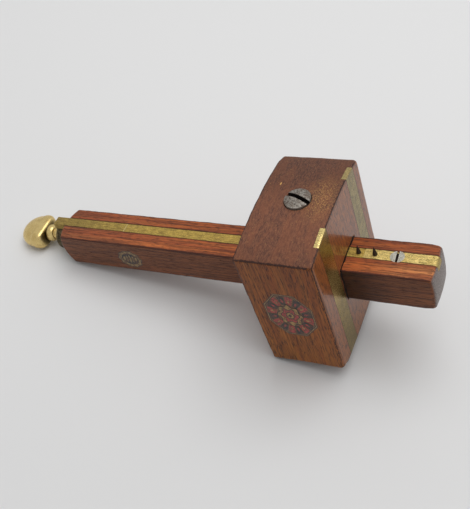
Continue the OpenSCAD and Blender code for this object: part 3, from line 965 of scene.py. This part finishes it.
thumbTurn = thumbPiece()
neck = [(-164.6, 0), (-164.6, 3.0), (-163.3, 3.0), (-163.0, 3.3)]
for k in range(1, 12):
    a = math.pi * k / 12
    neck.append((-163.0 + 5.6 * (1 - math.cos(a)) / 2, 2.55 + 1.75 * math.sin(a)))
neck += [(-157.4, 2.7), (-157.0, 2.6), (-156.4, 3.0), (-152.8, 3.0), (-152.5, 2.75), (-152.5, 0)]
carve(thumbTurn, turned("cutter", neck, axis, 0, "knob", 64), "UNION")
mounted(finished(thumbTurn, 38), "thumbscrew", "knob_brass", "thumb_knob")

rod = {"from": -158.4, "to": -100.0, "r": 2.0, "depth": 0.32, "pitch": 1.06, "around": 24, "steps": 6}


def threadedRod():
    points, faces, rings = [], [], []
    count = int((rod["to"] - rod["from"]) / rod["pitch"] * rod["steps"])
    for i in range(count + 1):
        x = rod["from"] + i * rod["pitch"] / rod["steps"]
        ring = []
        for j in range(rod["around"]):
            phase = (x / rod["pitch"] - j / rod["around"]) % 1
            plain = x < -145.4
            r = rod["r"] - (0 if plain else rod["depth"] * 2 * min(phase, 1 - phase))
            a = 2 * math.pi * j / rod["around"]
            ring.append(len(points))
            points.append(Vector((x, r * math.cos(a), r * math.sin(a))) + Vector(axis))
        rings.append(ring)
    for first, second in zip(rings, rings[1:]):
        for j in range(rod["around"]):
            n = (j + 1) % rod["around"]
            faces.append([first[j], first[n], second[n], second[j]])
    faces += [rings[0], rings[-1]]
    return newPiece("thumbscrew_rod", points, faces, "innerSteel")


mounted(finished(threadedRod(), 40), "thumbscrew", "knob_brass", "screw_rod")

boss = {"face": -152.4, "back": -147.95, "r": 7.0}
bossFace, bossBack = boss["face"], boss["back"]
ringProfile = [(bossFace, 0)] + [(bossFace + d, boss["r"] - sunk) for d, sunk in (
    (0, 0.6), (0.15, 0.2), (0.4, 0), (1.6, 0), (1.75, 0.2), (1.9, 0))]
ringProfile += [(bossBack - 0.4, boss["r"]), (bossBack - 0.12, boss["r"] - 0.15), (bossBack, boss["r"] - 0.5),
                (bossBack, 0)]
bossRing = turned("boss_ring", ringProfile, axis, 0, "boss", 96)
carve(bossRing, box("cutter", (bossFace, -1.5, 0), (bossBack, 3.4, topZ - 3.0), "boss"), "UNION")
carve(bossRing, turned("cutter", [(-156, 2.03), (-140, 2.03)], axis, 0, "boss"))
mounted(finished(bossRing), "pin_slide", "knob_brass", "slide_boss")
print("thumbscrew made")

# Printed badge and gilt mark

badge = {"x": -16.6, "z": 2.2, "wide": 11.6, "tall": 14.6, "skin": 0.03}


def ringShape(count, wide, tall, turn=0.0, wave=0.0, petals=1):
    made = []
    for k in range(count):
        a = 2 * math.pi * k / count + turn
        r = 1 + wave * math.cos(petals * a)
        made.append((wide * r * math.cos(a), tall * r * math.sin(a)))
    return made


def sheetShapes(name, layers, centre, y, finishes, body, slot):
    # Flat printed shapes, each a little prouder than the one under it
    points, faces, finish = [], [], []
    for level, (outline, colour) in enumerate(layers):
        n = len(outline)
        out = y - badge["skin"] * (0.4 + 0.12 * level)
        start = len(points)
        for depth in (y + 0.02, out):
            points += [(centre[0] + u, depth, centre[1] + v) for u, v in outline]
        for ring in (range(n), range(n, 2 * n)):
            faces.append([start + k for k in ring])
            finish.append(colour)
        for k in range(n):
            faces.append([start + k, start + (k + 1) % n, start + n + (k + 1) % n, start + n + k])
            finish.append(colour)
    piece = newPiece(name, points, faces, *finishes, faceFinish=finish)
    return mounted(piece, body, slot)


layers = []
for grow, colour in ((0, 0), (0.4, 2), (0.75, 0), (1.2, 3)):
    layers.append((ringShape(8, badge["wide"] - grow, badge["tall"] - grow, math.pi / 8), colour))
for k in range(16):
    # Wedges between the border and the rosette, every other one red
    a0, a1 = (2 * math.pi * (k + e) / 16 for e in (0.06, 0.94))
    inner, outer = 0.50, 0.84
    wedge = [(badge["wide"] * r * math.cos(a), badge["tall"] * r * math.sin(a))
             for r, a in ((inner, a0), (outer, a0), (outer * 1.02, (a0 + a1) / 2), (outer, a1), (inner, a1))]
    layers.append((wedge, 1 if k % 2 else 0))
    small = [(badge["wide"] * r * math.cos(a), badge["tall"] * r * math.sin(a))
             for r, a in ((0.62, a0 + 0.1), (0.76, (a0 + a1) / 2), (0.62, a1 - 0.1), (0.56, (a0 + a1) / 2))]
    layers.append((small, 2 if k % 2 else 1))
layers += [(ringShape(48, 5.4, 6.8, 0, 0.10, 8), 0), (ringShape(48, 4.9, 6.2, 0, 0.13, 8), 2),
           (ringShape(48, 3.7, 4.7, 0.2, 0.16, 6), 0), (ringShape(48, 3.3, 4.2, 0.2, 0.16, 6), 1),
           (ringShape(24, 1.9, 2.4), 0), (ringShape(24, 1.5, 1.9), 2), (ringShape(4, 0.8, 1.1), 0)]
sheetShapes("head_badge", layers, (badge["x"], badge["z"]), -halfWidth + head["frontInset"],
            ("black", "red", "gold", "ground"), "head", "head_wood")

markLayers = [(ringShape(40, 6.5, 5.8, 0, 0.06, 10), 0), (ringShape(40, 6.0, 5.3, 0, 0.06, 10), 1),
              (ringShape(32, 4.6, 3.8), 0)]
for k in range(-2, 3):
    leaf = [(1.6 * k + 0.62 * math.cos(a) + 0.3 * math.sin(a), (2.9 - 0.6 * abs(k)) * math.sin(a))
            for a in [math.pi * j / 4 for j in range(8)]]
    markLayers.append((leaf, 1))
sheetShapes("stem_mark", markLayers, (-107.0, -1.0), -stem["width"] / 2, ("black", "gilt"),
            "stem", "stem_wood")

# Hidden pieces keep their solids

hidden = dict.fromkeys(("thread_nut", "nut_pin", "clamp_bush", "pressure_pad", "rod_collar"), "innerBrass")
hidden["collar_pin"] = "innerSteel"
for name, finish in hidden.items():
    nodes[name].data.materials.clear()
    nodes[name].data.materials.append(materials[finish])

# Floor and light

room = {
    "floor": (0.76, 0.76, 0.76), "half": 1500, "roll": 0.5, "world": 0.62,
    "key": 5.9, "keyPlace": (0.30, 0.22, 1.0), "keySize": (1.0, 0.8),
    "cardHalf": 900, "cardY": -450, "cardLow": -120, "cardTop": 450,
}


def restingFloor():
    # The gauge lies on the near half of the head's heel and on the thumb piece
    low = [v.co for v in headBlock.data.vertices]
    far = [v.co for v in thumbTurn.data.vertices]
    tilt = math.radians(12)
    for _ in range(8):
        up = Vector((math.sin(tilt), math.sin(math.radians(room["roll"])), math.cos(tilt))).normalized()
        heel = min(low, key=lambda p: p.dot(up))
        end = min(far, key=lambda p: p.dot(up))
        tilt += (end - heel).dot(up) / (heel.x - end.x)
    print("floor tilt", round(math.degrees(tilt), 2))
    return up, heel


up, heel = restingFloor()
material, tree, shader = newMaterial("paperFloor")
shader.inputs["Base Color"].default_value = (*room["floor"], 1)
shader.inputs["Roughness"].default_value = 0.7
materials["floor"] = material
half = room["half"]
floor = newPiece("floor", [(-half, -half, 0), (half, -half, 0), (half, half, 0), (-half, half, 0)],
                 [[0, 1, 2, 3]], "floor")
lean = Vector((0, 0, 1)).rotation_difference(up).to_matrix().to_4x4()
floor.data.transform(Matrix.Translation(heel) @ lean)

# A grey backdrop behind the camera keeps the near side in shade
cardEnds = (-room["cardHalf"], room["cardHalf"])
card = newPiece("shade_card", [(cardEnds[0], room["cardY"], room["cardLow"]),
                               (cardEnds[1], room["cardY"], room["cardLow"]),
                               (cardEnds[1], room["cardY"], room["cardTop"]),
                               (cardEnds[0], room["cardY"], room["cardTop"])], [[0, 1, 2, 3]], "card")

world = bpy.data.worlds.new("studio")
world.use_nodes = True
world.node_tree.nodes["Background"].inputs[0].default_value = (1, 1, 1, 1)
world.node_tree.nodes["Background"].inputs[1].default_value = room["world"]
bpy.context.scene.world = world


def areaLamp(name, place, target, size, power):
    data = bpy.data.lights.new(name, "AREA")
    data.shape = "RECTANGLE"
    data.size, data.size_y = size
    data.energy = power
    lamp = bpy.data.objects.new(name, data)
    lamp.location = place
    lamp.rotation_euler = (Vector(target) - Vector(place)).to_track_quat("-Z", "Y").to_euler()
    bpy.context.scene.collection.objects.link(lamp)


areaLamp("key_light", room["keyPlace"], (-0.02, 0.05, 0), room["keySize"], room["key"])
bpy.context.scene.view_settings.view_transform = "Standard"
print("light and floor made")
